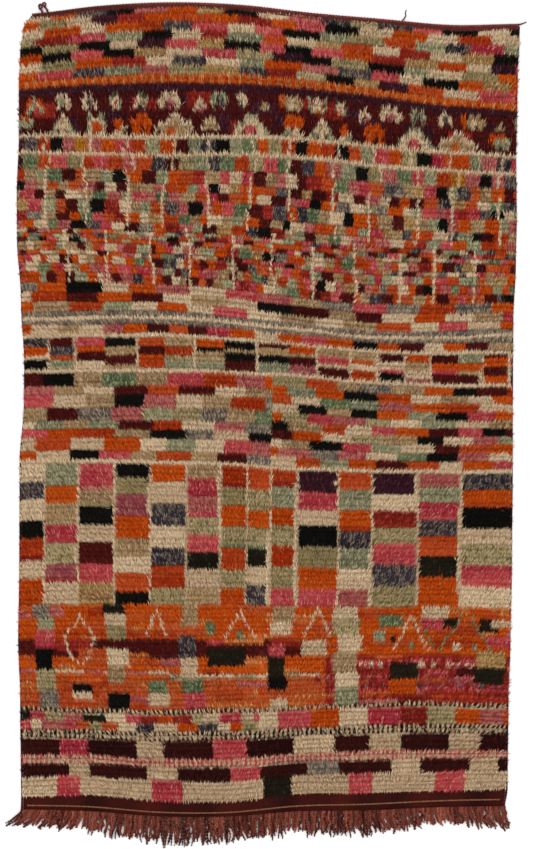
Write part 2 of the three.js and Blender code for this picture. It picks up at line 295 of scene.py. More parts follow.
WORLD_LIGHT = 1.25
KEY_LIGHT = 0.45
FILL_LIGHT = 0.25
KEY_FROM = (-0.75, 0.6, 1.0)
FILL_FROM = (0.8, -0.7, 1.2)
LIGHT_ANGLE = 40
FLOOR_SIZE = 160
FLOOR_DROP = 0.4 * MM
FRAME_LONG = 2.9715  # what the photo's long side spans, in metres
LENS = 85
SENSOR = 36
PHOTO_MIDDLE_X = -3.5 * MM  # the middle of the photo, before the outline is centred


def between(stations, share):
    """A smooth curve through values at even stations, read at shares from 0 to 1."""
    values = np.asarray(stations, float)
    last = len(values) - 1
    at = np.clip(share, 0, 1) * last
    first = np.minimum(np.floor(at).astype(int), last - 1)
    f = at - first
    a = values[np.maximum(first - 1, 0)]
    b = values[first]
    c = values[first + 1]
    d = values[np.minimum(first + 2, last)]
    bend = 2 * a - 5 * b + 4 * c - d
    twist = -a + 3 * b - 3 * c + d
    return b + 0.5 * f * (c - a + f * (bend + f * twist))


def rows_at(starts, down):
    """The table row above a distance down the rug, and the share of the way to the next."""
    starts = np.asarray(starts, float) * MM
    upper = np.clip(np.searchsorted(starts, down) - 1, 0, len(starts) - 2)
    share = (down - starts[upper]) / (starts[upper + 1] - starts[upper])
    return upper, np.clip(share, 0, 1)


def sag_at(u, down):
    """How far the weft lies below a straight row."""
    upper, share = rows_at([row[0] for row in WEFTS], down)
    sags = np.stack([between(row[1], u) for row in WEFTS])
    here = np.arange(len(u))
    return MM * (sags[upper, here] * (1 - share) + sags[upper + 1, here] * share)


def half_widths(down):
    """The rug's half widths to the left and to the right of its middle."""
    upper, share = rows_at([row[0] for row in EDGES], down)
    ease = share * share * (3 - 2 * share)
    sides = (np.array([row[k] for row in EDGES], float) * MM for k in (1, 2))
    return tuple(side[upper] * (1 - ease) + side[upper + 1] * ease for side in sides)


def on_rug(u, down, inset=0.0):
    """Where a knot lies, with u from 0 to 1 across, in the frame."""
    u, down = np.broadcast_arrays(np.asarray(u, float), np.asarray(down, float))
    left, right = half_widths(down)
    x = (inset - left) * (1 - u) + (right - inset) * u
    y = TOP_Y - down - sag_at((x + left) / (left + right), down)
    return x + shift_x, y + shift_y


# The part's outline was centred on its origin, so the shift is read from the frame.
selvedge_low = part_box("selvedge_left")[0]
lowest_corner = (TOP_Y - WEAVE_END) - WEFTS[-1][1][0] * MM
shift_x = selvedge_low.x + max(row[1] for row in EDGES) * MM
shift_y = selvedge_low.y - lowest_corner


def waves(x, y, table):
    """Soft lumps over the rug, from about -1 to 1."""
    total = np.zeros_like(x)
    for across, along, turn, share in table:
        total += share * np.sin(2 * math.pi * (x / (across * MM) + y / (along * MM)) + turn)
    return total


# The dyer's yarns: deep colour, faded colour, odd fibres' colour and their share

YARNS = {
    "cream": ("b69c7d", "cab393", "a98a68", 0.06),
    "bone": ("ac9172", "c4ab8a", "94745c", 0.08),
    "greige": ("86684a", "a1835c", "b09672", 0.25),
    "camel": ("84603e", "a6824e", "b69c70", 0.2),
    "sage": ("6c6b54", "8e8868", "a8a07c", 0.25),
    "moss": ("8c7a54", "ac9872", "6c643e", 0.2),
    "green": ("46563a", "6a7252", "8f8f68", 0.2),
    "mustard": ("92560e", "a86e1e", "b4843a", 0.1),
    "apricot": ("a4501c", "be6e38", "c88c56", 0.15),
    "orange": ("a63a02", "b84c0c", "b8682c", 0.06),
    "red_orange": ("942a06", "b44a1e", "b45a30", 0.06),
    "brick": ("a03c14", "b85428", "a8683c", 0.1),
    "crimson": ("701a13", "94281d", "a04434", 0.1),
    "pink": ("982534", "bc5250", "c0746c", 0.12),
    "rose": ("9e564c", "b86e62", "8c3c42", 0.3),
    "mauve": ("7e343e", "96484e", "a4685e", 0.25),
    "maroon": ("380b09", "4e130f", "66261f", 0.06),
    "umber": ("260806", "360f0b", "441813", 0.08),
    "aubergine": ("2f1219", "411822", "54303a", 0.08),
    "indigo": ("252029", "423a42", "80705e", 0.28),
    "grey": ("544a46", "70655a", "988670", 0.4),
    "black": ("0a0906", "120f0a", "24201a", 0.04),
    "olive_black": ("191309", "221b0f", "343020", 0.06),
}
YARN_NAMES = list(YARNS)


def linear(code):
    """A colour from its hexadecimal code, as linear light."""
    part = np.array([int(code[i : i + 2], 16) for i in (0, 2, 4)]) / 255
    return np.where(part <= 0.04045, part / 12.92, ((part + 0.055) / 1.055) ** 2.4)


# The chart: one yarn and one tone for each knot

chart = np.zeros((ROWS, KNOTS), int)
tones = np.zeros((ROWS, KNOTS))


def lay(row, tall, left, wide, yarn, fade=None):
    """Knots a block of one yarn."""
    rows = slice(max(row, 0), min(row + tall, ROWS))
    knots = slice(max(left, 0), max(min(left + wide, KNOTS), 0))
    chart[rows, knots] = YARN_NAMES.index(yarn)
    tone = dice.uniform(*TONE_RANGE) if fade is None else fade
    drift = np.cumsum(dice.normal(0, TONE_DRIFT, (ROWS, 1)), axis=0)
    tones[rows, knots] = tone + drift[rows] - drift[rows][:1]


def pick(shares, *others):
    """A yarn drawn by its share, other than those next to it."""
    names = [name for name in shares if name not in others]
    weights = np.array([shares[name] for name in names], float)
    return str(dice.choice(names, p=weights / weights.sum()))


def course(row, tall, widths, shares, left=0, right=KNOTS):
    """One course of blocks from a knot on the left to one on the right."""
    at = left - int(dice.integers(0, widths[0]))
    beside = ""
    while at < right:
        wide = int(dice.integers(widths[0], widths[1] + 1))
        start = max(at, left)
        above = YARN_NAMES[chart[row - 1, min(start + wide // 2, KNOTS - 1)]] if row else ""
        beside = pick(shares, beside, above)
        lay(row, tall, start, min(at + wide, right) - start, beside)
        at += wide


def twist_rows(row, tall, first, second, run=1):
    """Two yarns that take turns, a few knots each."""
    for knot in range(0, KNOTS, run):
        lay(row, tall, knot, run, second if (knot // run) % 2 else first, dice.uniform(*TWIST_TONES))


def post(knot, row, tall, yarn="cream"):
    """A line of single knots down the rug that wanders a knot to either side."""
    wander = 0
    for step in range(tall):
        if dice.random() < POST_STEPS:
            wander = int(np.clip(wander + dice.choice((-1, 1)), -1, 1))
        lay(row + step, 1, knot + wander, 1, yarn, POST_TONE)


def draw(row, left, figure):
    """Knots a small charted figure over the ground."""
    for down, line in enumerate(figure):
        for across, letter in enumerate(line):
            if letter in LETTERS and 0 <= left + across < KNOTS:
                lay(row + down, 1, left + across, 1, LETTERS[letter], dice.uniform(*FIGURE_TONES))


def slant(row, knot, tall, spread, yarn):
    """A dotted line that falls to the right, or to the left where its spread is below 0."""
    for step in range(tall):
        lay(row + step, 1, knot + int(round(step * spread)), 1, yarn, LINE_TONE)


TOP_BRICKS = {
    "cream": 24, "black": 18, "orange": 14, "pink": 12, "moss": 8, "sage": 6, "indigo": 10,
    "camel": 6, "red_orange": 6, "crimson": 7, "aubergine": 6, "rose": 5,
}
SQUARES = {
    "pink": 12, "mustard": 4, "indigo": 12, "cream": 14, "black": 10, "red_orange": 10, "sage": 12,
    "maroon": 8, "moss": 9, "orange": 9, "rose": 8, "green": 5,
}
CONFETTI = {
    "red_orange": 11, "orange": 12, "brick": 10, "maroon": 16, "cream": 12, "greige": 10, "sage": 9,
    "rose": 11, "pink": 9, "crimson": 4, "indigo": 5, "green": 5, "camel": 4, "black": 3, "grey": 3,
}
WIDE_BRICKS = {
    "orange": 18, "cream": 22, "greige": 13, "maroon": 13, "pink": 9, "black": 4, "grey": 6,
    "rose": 7, "red_orange": 8, "sage": 4,
}
BARS = {
    "orange": 14, "maroon": 13, "pink": 13, "greige": 15, "cream": 12, "indigo": 6, "black": 6,
    "sage": 9, "red_orange": 8, "grey": 4, "mauve": 4,
}
BRICKS = {
    "cream": 24, "red_orange": 9, "orange": 8, "pink": 8, "greige": 13, "maroon": 9, "black": 8,
    "sage": 6, "grey": 8, "rose": 9, "moss": 4, "green": 3,
}
FOOT_BLOCKS = {
    "pink": 7, "crimson": 4, "orange": 6, "brick": 4, "cream": 9, "moss": 3, "olive_black": 1, "rose": 4,
    "indigo": 1,
}
GROUND_REDS = {"red_orange": 5, "apricot": 5, "rose": 2, "brick": 7}
GROUND_DARKS = {"crimson": 7, "maroon": 2, "mauve": 2, "rose": 2, "pink": 2, "brick": 4}

# The tall panels from left to right: how many knots wide, and the yarns of their blocks in turn
PANELS = [
    (10, ("cream", "indigo", "cream", "black", "red_orange", "cream", "orange")),
    (13, ("sage", "orange", "greige", "pink", "moss", "mauve", "cream")),
    (14, ("pink", "greige", "black", "cream", "maroon", "pink", "camel")),
    (14, ("black", "moss", "mauve", "orange", "greige", "cream", "red_orange")),
    (14, ("orange", "cream", "indigo", "cream", "indigo", "red_orange", "moss")),
    (13, ("greige", "pink", "rose", "moss", "pink", "olive_black", "cream")),
    (10, ("red_orange", "moss", "orange", "moss", "red_orange", "moss", "orange")),
    (9, ("red_orange", "moss", "orange", "moss", "olive_black", "cream", "indigo")),
    (10, ("red_orange", "sage", "orange", "moss", "red_orange", "moss", "pink")),
    (16, ("aubergine", "pink", "cream", "black", "moss", "orange", "pink")),
    (13, ("red_orange", "sage", "orange", "indigo", "sage", "cream", "rose")),
    (18, ("aubergine", "cream", "crimson", "moss", "pink", "indigo", "moss")),
    (17, ("rose", "sage", "pink", "indigo", "red_orange", "olive_black", "orange")),
    (21, ("indigo", "orange", "black", "cream", "moss", "pink", "cream")),
]

# The yarn that takes over where another runs out at the foot of a block
PARTNERS = {
    "red_orange": "crimson", "orange": "red_orange", "mauve": "crimson", "rose": "pink", "moss": "green",
    "pink": "rose", "greige": "moss",
}

# The band of totems: its rows, and the knot where its crimson ground starts
TOTEM_ROWS = 24
CRIMSON_FROM = 128
# The totems from left to right: share of the width, and knots wide
TOTEMS = [(0.036, 7), (0.177, 7), (0.336, 7), (0.513, 7), (0.644, 9)]
TOTEM_YARNS = {
    "cream": 15, "sage": 3, "black": 4, "olive_black": 4, "grey": 3, "green": 2, "moss": 4,
    "pink": 3, "greige": 3, "indigo": 2, "orange": 2,
}
# The open gables: middle knot, row, rows tall, spread of each side and yarn
GABLES = [
    (25, 2, 5, 1.2, "cream"),
    (57, 1, 6, 0.8, "cream"),
    (92, 1, 7, 1.0, "cream"),
    (124, 0, 7, 0.8, "cream"),
    (163, 2, 9, 0.85, "cream"),
]
# Gable sides that stand alone: knot, row, rows tall, spread and yarn
GABLE_SIDES = [(167, 3, 8, 0.8, "green"), (184, 2, 9, -1.1, "green"), (188, 2, 9, 1.0, "green")]
# The rounded foot that closes the first gable: middle knot, row, rows tall and half its width
GABLE_FOOT = (25, 7, 7, 6)
# Rows of single knots on the crimson ground: row, and the yarns' shares
STREAKS = [
    (13, {"pink": 4, "crimson": 2}),
    (14, {"cream": 2, "pink": 2, "crimson": 1}),
    (17, {"crimson": 3, "rose": 2, "pink": 1}),
    (19, {"crimson": 3, "mauve": 2, "indigo": 1}),
    (20, {"pink": 3, "crimson": 1}),
    (22, {"red_orange": 2, "crimson": 2}),
]
# Blocks that stand alone between the totems: knot, row, knots wide, rows tall and yarn
LOOSE_BLOCKS = [
    (91, 6, 3, 2, "green"), (78, 4, 4, 3, "green"), (79, 10, 16, 4, "olive_black"), (54, 17, 8, 3, "green"),
    (54, 20, 9, 3, "cream"), (22, 18, 8, 2, "black"), (22, 20, 8, 2, "cream"), (118, 8, 10, 4, "cream"),
    (150, 2, 10, 3, "green"), (148, 6, 5, 3, "sage"), (155, 7, 2, 2, "black"), (163, 9, 2, 2, "green"),
    (168, 0, 11, 3, "cream"), (168, 3, 9, 3, "pink"), (177, 3, 6, 2, "olive_black"), (181, 9, 3, 2, "cream"),
    (189, 9, 2, 2, "sage"), (192, 3, 8, 3, "olive_black"), (197, 3, 8, 2, "cream"), (195, 7, 10, 3, "pink"),
    (191, 11, 12, 4, "camel"), (190, 15, 13, 4, "olive_black"), (155, 14, 12, 4, "olive_black"),
    (155, 18, 11, 4, "orange"), (159, 22, 10, 2, "crimson"),
]

DARK_GROUNDS = [YARN_NAMES.index(name) for name in ("crimson", "maroon", "mauve")]

# Bricks: the heights of the courses on the left, and the knot where the right half starts
BRICK_HEIGHTS = (3, 2, 3, 3, 2, 2, 3, 3)
BRICK_MIDDLE = 104
FOOT_MIDDLE = 100  # the knot up to which the foot's short blocks lie in two tiers

# The small figures of the dark band, knot by knot: each letter is a yarn, and a dot leaves the ground
LETTERS = {
    "c": "cream", "s": "sage", "g": "greige", "o": "orange", "r": "red_orange", "p": "pink", "m": "mauve",
    "i": "indigo", "y": "mustard", "n": "green",
}
UPPER_FIGURES = [
    ("ccc.c.", "cssscc", ".cnscc", "cc..cc"),
    (".....", "..c..", ".ccc.", "ccmcc", "c.mm."),
    ("s..cc..s", "s.cccc.s", "sscccc.s", ".scyycs."),
    (".c.c..", "cciic.", "cciicc", "cc.i.c"),
    ("oo.gg.gg..", "ooggccgggg", "ooggcccggg", ".o.gcc.gg."),
    ("..ccc.cc..", ".cccccccc.", "cccmmmmccc", ".cc.mm.cc."),
    ("....", "....", ".gg.", "gggg"),
    (".ss.ss.", "ssisiss", "ssiiiss", ".s.i.s."),
    ("....s....", "..oosoo..", ".oossco..", ".oscppcso", "oss.pp.s."),
    ("...nn..", ".pccs.s", ".pccgsc", "pcciic."),
    (".n.n.", "sccc.", "scrcs", ".crcs"),
    (".cc.", "cccc", "cicc", ".ic."),
]
LOWER_FIGURES = [
    (".oooooo.", "oooooooo", "ooorrooo", ".cc.cc..", "sssscccc"),
    ("..ooooo..", "ooooooooo", "oooorrooo", ".oooo.oo.", ".ooo..oo."),
    ("......cccc......", ".....cggggcc....", ".cccccggggccccc.", "cgggggooggggggcc", "c.gggoooogggg.c."),
    ("........", "..gggg..", ".gcggcg.", "cggggggc"),
    ("ss...ss", "sscccss", "scoooccs", "scooooc", "cc.o.cc"),
    ("oooooo.....", "oossssoss..", ".osssssss..", "..ss.sss..."),
    ("....cc....", "...cgcc...", "..ccgccs..", ".sccccccs.", "sss.cc.sss"),
    (".....sssss......", "....scccccs.....", "..ssscccccsss...", ".scccppppccccs..", "sccc.pppp.cccss."),
    ("......", ".oo...", "oooo..", ".oocc.", "cccss."),
]


def top_bricks(row):
    """Eight courses of bricks below the top cord."""
    for k in range(8):
        course(row + 2 * k, 2, (10, 15), TOP_BRICKS)


def figure_band(row):
    """The dark band with small figures: two tiers of them on a maroon ground."""
    grounds = {"aubergine": 6, "crimson": 4, "maroon": 2}
    lay(row, 10, 0, KNOTS, "maroon", 0.45)
    for knot in range(-3, KNOTS, 9):
        down = int(dice.integers(0, 8))
        wide = int(dice.integers(5, 13))
        lay(row + down, int(dice.integers(2, 5)), knot, wide, pick(grounds))
    tiers = ((UPPER_FIGURES, row, 2, 2, 6), (LOWER_FIGURES, row + 5, -3, 1, 6))
    for figures, start, at, nearest, farthest in tiers:
        order = list(dice.permutation(len(figures)))
        while at < KNOTS:
            if not order:
                order = list(dice.permutation(len(figures)))
            figure = figures[int(order.pop())]
            draw(start, at, figure)
            at += len(figure[0]) + int(dice.integers(nearest, farthest))


def squares(row):
    """Two courses of squares with a cream line above and between them."""
    for start in (row, row + 4):
        lay(start, 1, 0, KNOTS, "cream", 0.6)
        course(start + 1, 3, (5, 6), SQUARES)
        for knot in range(8, KNOTS, 17):
            post(knot + int(dice.integers(0, 6)), start + 1, 3)


def confetti(row, tall):
    """Courses of small squares, finer lower down, with two tiers of cream lines that wander through them."""
    at = row
    half = tall // 2
    while at < row + tall:
        heights, widths = ((2, 2, 3), (4, 6)) if at < row + half else ((2, 2, 2, 1), (3, 5))
        high = min(int(dice.choice(heights)), row + tall - at)
        course(at, high, widths, CONFETTI)
        at += high
    for tier, first in ((row, 10), (row + half, 19)):
        for knot in range(first, KNOTS, 17):
            start = tier + int(dice.integers(0, 3))
            post(knot + int(dice.integers(-1, 2)), start, tier + half - start)


def heather_lines(row):
    """Thin lines of heather and cream, a course of short blocks, and a cream line."""
    lay(row, 1, 0, KNOTS, "grey", 0.4)
    lay(row + 1, 1, 0, KNOTS, "cream", 0.7)
    lay(row + 2, 1, 0, KNOTS, "grey", 0.4)
    course(row + 3, 2, (8, 11), WIDE_BRICKS)
    lay(row + 5, 1, 0, KNOTS, "cream", 0.6)


def bar_stacks(row):
    """Stacks of four bars in pairs, between cream posts."""
    at = 0
    stack = 0
    while at < KNOTS:
        wide = int(dice.integers(10, 14))
        heights = dice.permutation((2, 2, 2, 1))
        down = 0
        yarn = ""
        for tall in heights:
            yarn = pick(BARS, yarn)
            lay(row + down, int(tall), at, wide, yarn)
            down += int(tall)
        at += wide
        stack += 1
        if stack % 2 == 0 or dice.random() < 0.3:
            post(at, row, 7)
            at += 1
    lay(row + 7, 1, 0, KNOTS, "cream", 0.6)


def brick_field(row):
    """Bricks in courses of two or three rows on the left half and of two rows on the right."""
    at = row
    for tall in BRICK_HEIGHTS:
        course(at, tall, (11, 15), BRICKS, 0, BRICK_MIDDLE)
        at += tall
    for start in range(row, at, 2):
        course(start, min(2, at - start), (10, 14), BRICKS, BRICK_MIDDLE, KNOTS)


def tall_panels(row, tall):
    """Panels of stacked blocks, parted by cream posts."""
    at = 0
    for wide, family in PANELS:
        down = int(dice.integers(-1, 1))
        k = 0
        while down < tall:
            high = int(dice.integers(4, 6)) if k else int(dice.integers(4, 7))
            if tall - down - high < 3:
                high = tall - down
            start = max(down, 0)
            yarn = family[k % len(family)]
            lay(row + start, min(down + high, tall) - start, at, wide, yarn)
            if dice.random() < RUNS_OUT:
                edge = min(down + high, tall) - 1
                lay(row + edge, 1, at, wide, PARTNERS.get(yarn, yarn))
            down += high
            k += 1
        post(at + wide, row, tall)
        at += wide + 1


def warm_grounds(row):
    """The orange, maroon, brick and crimson grounds with their patches, and rows of single knots on them."""
    lay(row, TOTEM_ROWS, 0, KNOTS, "orange", 0.7)
    lay(row + 8, 4, 0, CRIMSON_FROM, "maroon", 0.6)
    lay(row + 12, 12, CRIMSON_FROM, KNOTS - CRIMSON_FROM, "crimson", 0.6)
    lay(row + 17, 7, 0, CRIMSON_FROM, "brick", 0.4)
    for _ in range(120):
        down = int(dice.integers(0, TOTEM_ROWS))
        left = int(dice.integers(-5, KNOTS))
        is_dark = chart[row + down, min(max(left + 6, 0), KNOTS - 1)] in DARK_GROUNDS
        tall = int(dice.integers(1, 3))
        wide = int(dice.integers(6, 22))
        lay(row + down, tall, left, wide, pick(GROUND_DARKS if is_dark else GROUND_REDS))
    for knot in range(0, CRIMSON_FROM, 9):
        lay(row + 15 + knot // 60, 1, knot, 9, pick({"cream": 3, "sage": 1, "rose": 1}))
    for down, yarns in STREAKS:
        for knot in range(CRIMSON_FROM + 2, KNOTS):
            lay(row + down, 1, knot, 1, pick(yarns))


def gables(row):
    """The open gables, the sides that stand alone, and the rounded foot of the first gable."""
    for middle, start, tall, spread, yarn in GABLES:
        slant(row + start, middle, tall, -spread, yarn)
        slant(row + start, middle, tall, spread, yarn)
    for knot, start, tall, spread, yarn in GABLE_SIDES:
        slant(row + start, knot, tall, spread, yarn)
    middle, start, tall, half = GABLE_FOOT
    for step in range(tall):
        reach = round(half * math.cos(step / tall * math.pi / 2))
        lay(row + start + step, 1, middle - reach, 1, "cream", LINE_TONE)
        lay(row + start + step, 1, middle + reach, 1, "cream", LINE_TONE)


def totems(row):
    """Stacks of blocks that stand through the whole band."""
    for share, wide in TOTEMS:
        at = int(share * KNOTS)
        down = -int(dice.integers(0, 3))
        yarn = ""
        while down < TOTEM_ROWS:
            tall = int(dice.integers(3, 6))
            yarn = pick(TOTEM_YARNS, yarn)
            start = max(down, 0)
            end = min(down + tall, TOTEM_ROWS)
            left = at + int(dice.integers(-1, 2))
            lay(row + start, end - start, left, wide + int(dice.integers(0, 3)), yarn)
            down += tall + (2 if dice.random() < 0.2 else 0)


def totem_band(row):
    """Warm grounds with open gables, blocks that stand alone, and totems."""
    warm_grounds(row)
    gables(row)
    for left, start, wide, tall, yarn in LOOSE_BLOCKS:
        lay(row + start, tall, left, wide, yarn)
    totems(row)


def foot_bands(row):
    """The last bands: twisted rows between courses of long blocks."""
    twist_rows(row, 1, "olive_black", "bone")
    course(row + 1, 2, (5, 10), FOOT_BLOCKS, 0, FOOT_MIDDLE)
    course(row + 3, 2, (5, 10), FOOT_BLOCKS, 0, FOOT_MIDDLE)
    course(row + 1, 4, (9, 14), FOOT_BLOCKS, FOOT_MIDDLE, KNOTS)
    twist_rows(row + 5, 2, "black", "bone")
    long_blocks(row + 7, 4, {"umber": 1}, {"bone": 3, "pink": 2}, (15, 21), (11, 17))
    twist_rows(row + 11, 2, "pink", "bone")
    pale_mix = {"bone": 4, "orange": 1, "grey": 1, "pink": 2}
    long_blocks(row + 13, 3, {"umber": 1}, pale_mix, (17, 25), (8, 13))
    dark_mix = {"crimson": 2, "pink": 3, "olive_black": 1, "moss": 1}
    long_blocks(row + 16, 4, {"bone": 1}, dark_mix, (22, 34), (10, 13))


def long_blocks(row, tall, main, others, main_widths, other_widths):
    """Blocks of one yarn that take turns with shorter ones of others."""
    at = -int(dice.integers(0, 12))
    is_main = bool(dice.random() < 0.5)
    while at < KNOTS:
        widths = main_widths if is_main else other_widths
        wide = int(dice.integers(widths[0], widths[1] + 1))
        lay(row, tall, at, wide, pick(main if is_main else others))
        at += wide
        is_main = not is_main


def fill_chart():
    """Every band from the top cord to the flat-woven end, each from its first row."""
    top_bricks(0)
    twist_rows(16, 2, "orange", "apricot", 2)
    lay(18, 2, 0, KNOTS, "aubergine", 0.5)
    figure_band(20)
    squares(30)
    confetti(38, 26)
    for start in (64, 66, 68):
        course(start, 2, (11, 15), WIDE_BRICKS)
    heather_lines(70)
    bar_stacks(76)
    brick_field(84)
    lay(104, 1, 0, KNOTS, "cream", 0.6)
    tall_panels(105, 32)
    totem_band(137)
    foot_bands(161)


# Node trees

def add(tree, kind, sockets=(), **settings):
    """Adds a node with its settings, and feeds its sockets by name or by number."""
    made = tree.nodes.new(kind)
    for key, value in settings.items():
        setattr(made, key, value)
    for key, value in dict(sockets).items():
        if isinstance(value, bpy.types.NodeSocket):
            tree.links.new(value, made.inputs[key])
        else:
            made.inputs[key].default_value = value
    return made


def sum_of(tree, operation, *terms):
    """A maths node's result."""
    return add(tree, "ShaderNodeMath", dict(enumerate(terms)), operation=operation).outputs[0]


def scaled(tree, vector, factor):
    """A vector times a number."""
    return add(tree, "ShaderNodeVectorMath", {0: vector, "Scale": factor}, operation="SCALE").outputs[0]


def attribute(tree, name, kind):
    """An attribute of the points, by its name."""
    return add(tree, "GeometryNodeInputNamedAttribute", {"Name": name}, data_type=kind).outputs["Attribute"]


def new_tree(name, inputs):
    """A geometry tree with one mesh going in, one coming out, and named inputs for its sizes."""
    tree = bpy.data.node_groups.new(name, "GeometryNodeTree")
    tree.interface.new_socket("Geometry", in_out="INPUT", socket_type="NodeSocketGeometry")
    tree.interface.new_socket("Geometry", in_out="OUTPUT", socket_type="NodeSocketGeometry")
    for label, kind in inputs.items():
        tree.interface.new_socket(label, in_out="INPUT", socket_type="NodeSocket" + kind)
    return tree, tree.nodes.new("NodeGroupInput").outputs


def close_tree(tree, geometry, wool):
    """The end of every tree: real meshes with their material."""
    smooth = add(tree, "GeometryNodeSetShadeSmooth", {"Geometry": geometry})
    dressed = add(tree, "GeometryNodeSetMaterial", {"Geometry": smooth.outputs[0], "Material": wool})
    out = tree.nodes.new("NodeGroupOutput")
    tree.links.new(dressed.outputs[0], out.inputs[0])
    return tree


def random_value(tree, low, high, seed):
    """A random number for each point."""
    made = add(tree, "FunctionNodeRandomValue", {2: low, 3: high, 8: seed}, data_type="FLOAT")
    return made.outputs[1]


def pile_tree(wool):
    """Sets one tuft of wool on each knot's points, bends it over and joins all of them."""
    sizes = {
        "Tuft length": "Float", "Tuft width": "Float", "Shortest": "Float", "Longest": "Float",
        "Thinnest": "Float", "Thickest": "Float", "Bake cell": "Float", "Seed": "Int",
    }
    tree, given = new_tree("Knotted pile", sizes)
    cone = add(tree, "GeometryNodeMeshCone", {
        "Vertices": 3, "Side Segments": 1, "Fill Segments": 1,
        "Radius Top": 0.0, "Radius Bottom": 1.0, "Depth": 1.0,
    }, fill_type="NGON")
    place = add(tree, "ShaderNodeSeparateXYZ", {0: tree.nodes.new("GeometryNodeInputPosition").outputs[0]})
    along = place.outputs[2]
    marked = add(tree, "GeometryNodeStoreNamedAttribute",
                 {"Geometry": cone.outputs["Mesh"], "Name": "along", "Value": along},
                 data_type="FLOAT", domain="POINT")
    mapped = add(tree, "GeometryNodeStoreNamedAttribute",
                 {"Geometry": marked.outputs[0], "Name": "spread", "Value": cone.outputs["UV Map"]},
                 data_type="FLOAT_VECTOR", domain="CORNER")
    spin = random_value(tree, 0.0, 2 * math.pi, given["Seed"])
    turned = add(tree, "FunctionNodeAxisAngleToRotation", {"Axis": (0, 0, 1), "Angle": spin}).outputs[0]
    aimed = add(tree, "FunctionNodeAlignRotationToVector",
                {"Rotation": turned, "Vector": attribute(tree, "aim", "FLOAT_VECTOR")}, axis="Z").outputs[0]
    wide = sum_of(tree, "MULTIPLY", given["Tuft width"],
                  random_value(tree, given["Thinnest"], given["Thickest"], given["Seed"]))
    uneven = random_value(tree, given["Shortest"], given["Longest"], given["Seed"])
    long = sum_of(tree, "MULTIPLY", given["Tuft length"], uneven)
    grown = sum_of(tree, "MULTIPLY", long, attribute(tree, "growth", "FLOAT"))
    scale = add(tree, "ShaderNodeCombineXYZ", {0: wide, 1: wide, 2: grown}).outputs[0]
    planted = add(tree, "GeometryNodeInstanceOnPoints", {
        "Points": given["Geometry"], "Instance": mapped.outputs[0], "Rotation": aimed, "Scale": scale,
    })
    real = add(tree, "GeometryNodeRealizeInstances", {"Geometry": planted.outputs[0]})
    share = attribute(tree, "along", "FLOAT")
    droop = scaled(tree, attribute(tree, "bend", "FLOAT_VECTOR"), sum_of(tree, "MULTIPLY", share, share))
    bent = add(tree, "GeometryNodeSetPosition", {"Geometry": real.outputs[0], "Offset": droop})
    cell = scaled(tree, attribute(tree, "spread", "FLOAT_VECTOR"), given["Bake cell"])
    spread = add(tree, "ShaderNodeVectorMath", {0: attribute(tree, "cell", "FLOAT_VECTOR"), 1: cell},
                 operation="ADD").outputs[0]
    baked = add(tree, "GeometryNodeStoreNamedAttribute",
                {"Geometry": bent.outputs[0], "Name": "OFBake", "Value": spread},
                data_type="FLOAT2", domain="CORNER")
    return close_tree(tree, baked.outputs[0], wool)


def yarn_tree(wool):
    """Lays a twisted yarn of a few plies along every line of a mesh."""
    sizes = {"Plies": "Float", "Lobe": "Float", "Flatness": "Float", "Sides": "Int"}
    tree, given = new_tree("Twisted yarn", sizes)
    path = add(tree, "GeometryNodeMeshToCurve", {"Mesh": given["Geometry"]})
    upright = add(tree, "GeometryNodeSetCurveNormal", {"Curve": path.outputs[0]}, mode="Z_UP")
    twisted = add(tree, "GeometryNodeSetCurveTilt",
                  {"Curve": upright.outputs[0], "Tilt": attribute(tree, "twist", "FLOAT")})
    ring = add(tree, "GeometryNodeCurvePrimitiveCircle", {"Resolution": given["Sides"], "Radius": 1.0})
    place = add(tree, "ShaderNodeSeparateXYZ", {0: tree.nodes.new("GeometryNodeInputPosition").outputs[0]})
    angle = sum_of(tree, "ARCTAN2", place.outputs[1], place.outputs[0])
    lobes = sum_of(tree, "COSINE", sum_of(tree, "MULTIPLY", angle, given["Plies"]))
    swell = sum_of(tree, "MULTIPLY_ADD", lobes, given["Lobe"], 1.0)
    outline = add(tree, "ShaderNodeCombineXYZ", {
        0: sum_of(tree, "MULTIPLY", place.outputs[0], swell),
        1: sum_of(tree, "MULTIPLY", sum_of(tree, "MULTIPLY", place.outputs[1], swell), given["Flatness"]),
    }).outputs[0]
    profile = add(tree, "GeometryNodeSetPosition", {"Geometry": ring.outputs[0], "Position": outline})
    swept = add(tree, "GeometryNodeCurveToMesh",
                {"Curve": twisted.outputs[0], "Profile Curve": profile.outputs[0],
                 "Scale": attribute(tree, "thick", "FLOAT"), "Fill Caps": True})
    real = add(tree, "GeometryNodeRealizeInstances", {"Geometry": swept.outputs[0]})
    return close_tree(tree, real.outputs[0], wool)


# The attributes that only the trees read
HELPERS = ("aim", "bend", "growth", "cell", "spread", "thick", "twist", "tilt", "radius")


